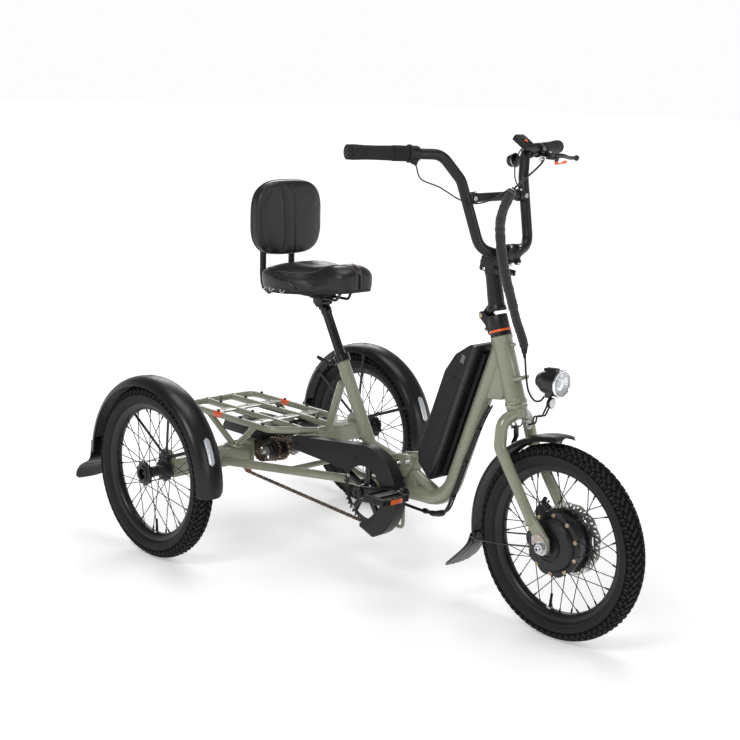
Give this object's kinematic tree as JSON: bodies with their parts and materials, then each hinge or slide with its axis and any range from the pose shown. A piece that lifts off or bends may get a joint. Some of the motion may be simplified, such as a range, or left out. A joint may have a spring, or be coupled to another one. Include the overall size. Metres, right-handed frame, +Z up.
{
  "type": "adult electric tricycle",
  "caption": "Step-through cargo tricycle with a folding handlebar mast, wide saddle with backrest, rear rack, full fenders and a driven front wheel.",
  "frame": {"origin": "on the ground, at the middle of the tricycle's footprint box", "axes": "+X forward, +Y to the rider's left, +Z up; the rider faces +X"},
  "size_m": [1.67, 0.894, 1.1826],
  "materials": {
    "tyre": "matte black tread rubber",
    "wheel_black": "satin black coated rims, spokes and hubs",
    "sage_paint": "gloss sage green-grey paint",
    "black_gloss": "gloss black paint",
    "black_satin": "satin black anodised",
    "steel_bright": "bright brushed steel",
    "chain_steel": "brown oiled chain steel",
    "grip_rubber": "matte black rubber",
    "case_plastic": "matte black moulded plastic",
    "fender_plastic": "gloss black moulded plastic",
    "saddle_vinyl": "black grained vinyl",
    "sleeve_textile": "black woven sleeve",
    "orange_plastic": "orange plastic",
    "lamp_lens": "clear lamp lens"
  },
  "bodies": {
    "frame": {"front_frame": "sage_paint", "rear_frame": "sage_paint", "rear_rack": "sage_paint", "battery_rail": "black_satin", "seat_collar": "black_satin", "chain_guard": "case_plastic", "primary_chain": "chain_steel", "drive_chain": "chain_steel", "chain_cover": "case_plastic", "rear_fender_right": "fender_plastic", "rear_fender_left": "fender_plastic", "frame_cables": "grip_rubber"},
    "steerer": {"fork": "sage_paint", "front_axle": "steel_bright", "fold_base": "black_gloss", "front_fender": "fender_plastic", "brake_caliper": "black_satin", "headlight_bracket": "black_satin", "cable_sleeve_lower": "sleeve_textile"},
    "front_wheel": {"front_tyre": "tyre", "front_rim": "wheel_black", "hub_motor": "wheel_black", "brake_rotor": "steel_bright"},
    "caliper_lever": {"caliper_arm": "steel_bright"},
    "lamp": {"headlight": "case_plastic", "headlight_lens": "lamp_lens"},
    "mast": {"stem_mast": "black_gloss", "handlebar": "black_gloss", "grip_right": "grip_rubber", "grip_left": "grip_rubber", "throttle_housing": "case_plastic", "brake_mount": "black_satin", "display": "case_plastic", "bell": "black_gloss", "cable_sleeve": "sleeve_textile", "brake_cable": "grip_rubber"},
    "latch": {"fold_latch": "black_gloss"},
    "twist_throttle": {"throttle": "grip_rubber"},
    "lever": {"brake_lever": "black_gloss"},
    "lock": {"parking_lock": "orange_plastic"},
    "button": {"power_button": "orange_plastic"},
    "battery_pack": {"battery": "case_plastic"},
    "quick_release": {"collar_lever": "black_gloss"},
    "post": {"seat_post": "black_gloss"},
    "seat": {"saddle": "saddle_vinyl", "saddle_frame": "black_satin", "backrest_tubes": "black_gloss", "backrest_pad": "saddle_vinyl"},
    "cranks": {"crank_right": "black_satin", "crank_left": "black_satin", "chainring": "black_satin"},
    "right_pedal": {"pedal_right": "case_plastic"},
    "left_pedal": {"pedal_left": "case_plastic"},
    "middle_shaft": {"jackshaft": "black_satin"},
    "tension_wheel": {"idler": "orange_plastic"},
    "drive_sprocket": {"axle_sprocket": "chain_steel"},
    "right_wheel": {"rear_tyre_right": "tyre", "rear_wheel_right": "wheel_black"},
    "left_wheel": {"rear_tyre_left": "tyre", "rear_wheel_left": "wheel_black"}
  },
  "joints": [
    {"name": "steering", "type": "hinge", "parent": "frame", "child": "steerer", "pos_m": [0.441, 0, 0.548], "axis": [-0.342, 0, 0.9397], "range_deg": [-50, 50]},
    {"name": "front_wheel_spin", "type": "hinge", "parent": "steerer", "child": "front_wheel", "pos_m": [0.595, 0, 0.24], "axis": [0, 1, 0], "continuous": true},
    {"name": "caliper_pull", "type": "hinge", "parent": "steerer", "child": "caliper_lever", "pos_m": [0.51033, 0.059, 0.28525], "axis": [0, 1, 0], "range_deg": [0, 20]},
    {"name": "headlight_tilt", "type": "hinge", "parent": "steerer", "child": "lamp", "pos_m": [0.543, 0, 0.584], "axis": [0, 1, 0], "range_deg": [-15, 15]},
    {"name": "mast_fold", "type": "hinge", "parent": "steerer", "child": "mast", "pos_m": [0.33, 0, 0.753], "axis": [0, -1, 0], "range_deg": [0, 80]},
    {"name": "latch_open", "type": "hinge", "parent": "mast", "child": "latch", "pos_m": [0.395, 0, 0.862], "axis": [0, -1, 0], "range_deg": [0, 60]},
    {"name": "throttle_twist", "type": "hinge", "parent": "mast", "child": "twist_throttle", "pos_m": [0.26705, -0.25066, 1.14325], "axis": [0.3363, 0.9415, -0.021], "range_deg": [0, 60], "stiffness_Nm_per_rad": 0.4},
    {"name": "brake_squeeze", "type": "hinge", "parent": "mast", "child": "lever", "pos_m": [0.31209, 0.23654, 1.13093], "axis": [0, 0, 1], "range_deg": [0, 18], "stiffness_Nm_per_rad": 2},
    {"name": "parking_lock_turn", "type": "hinge", "parent": "mast", "child": "lock", "pos_m": [0.32009, 0.25254, 1.11293], "axis": [0, 0, 1], "range_deg": [0, 25]},
    {"name": "button_press", "type": "slide", "parent": "mast", "child": "button", "axis": [-0.4788, 0, -0.8779], "range_m": [0, 0.0012], "stiffness_N_per_m": 300},
    {"name": "battery_release", "type": "slide", "parent": "frame", "child": "battery_pack", "axis": [-0.9389, 0, 0.3442], "range_m": [0, 0.06]},
    {"name": "quick_release_open", "type": "hinge", "parent": "frame", "child": "quick_release", "pos_m": [-0.21066, 0, 0.54338], "axis": [0, -1, 0], "range_deg": [0, 100]},
    {"name": "seat_height", "type": "slide", "parent": "frame", "child": "post", "axis": [-0.4853, 0, 0.8743], "range_m": [-0.1, 0.04]},
    {"name": "saddle_tilt", "type": "hinge", "parent": "post", "child": "seat", "pos_m": [-0.264, 0, 0.701], "axis": [0, 1, 0], "range_deg": [-10, 10]},
    {"name": "crank_turn", "type": "hinge", "parent": "frame", "child": "cranks", "pos_m": [-0.01, 0, 0.237], "axis": [0, 1, 0], "continuous": true},
    {"name": "right_pedal_turn", "type": "hinge", "parent": "cranks", "child": "right_pedal", "pos_m": [0.15298, -0.14, 0.27343], "axis": [0, 1, 0], "continuous": true},
    {"name": "left_pedal_turn", "type": "hinge", "parent": "cranks", "child": "left_pedal", "pos_m": [-0.17298, 0.14, 0.20057], "axis": [0, 1, 0], "continuous": true},
    {"name": "middle_shaft_turn", "type": "hinge", "parent": "frame", "child": "middle_shaft", "pos_m": [-0.407, 0, 0.264], "axis": [0, 1, 0], "continuous": true},
    {"name": "tension_wheel_turn", "type": "hinge", "parent": "frame", "child": "tension_wheel", "pos_m": [-0.518, -0.052, 0.194], "axis": [0, 1, 0], "continuous": true},
    {"name": "drive_sprocket_turn", "type": "hinge", "parent": "frame", "child": "drive_sprocket", "pos_m": [-0.495, -0.022, 0.24], "axis": [0, 1, 0], "continuous": true},
    {"name": "right_wheel_spin", "type": "hinge", "parent": "frame", "child": "right_wheel", "pos_m": [-0.495, -0.397, 0.24], "axis": [0, 1, 0], "continuous": true},
    {"name": "left_wheel_spin", "type": "hinge", "parent": "frame", "child": "left_wheel", "pos_m": [-0.495, 0.397, 0.24], "axis": [0, 1, 0], "continuous": true}
  ],
  "couplings": [
    {"joint": "caliper_pull", "follows": "brake_squeeze", "ratio": 1.1},
    {"joint": "middle_shaft_turn", "follows": "crank_turn", "ratio": 2.875},
    {"joint": "tension_wheel_turn", "follows": "crank_turn", "ratio": 4.6},
    {"joint": "drive_sprocket_turn", "follows": "crank_turn", "ratio": 2.875}
  ]
}
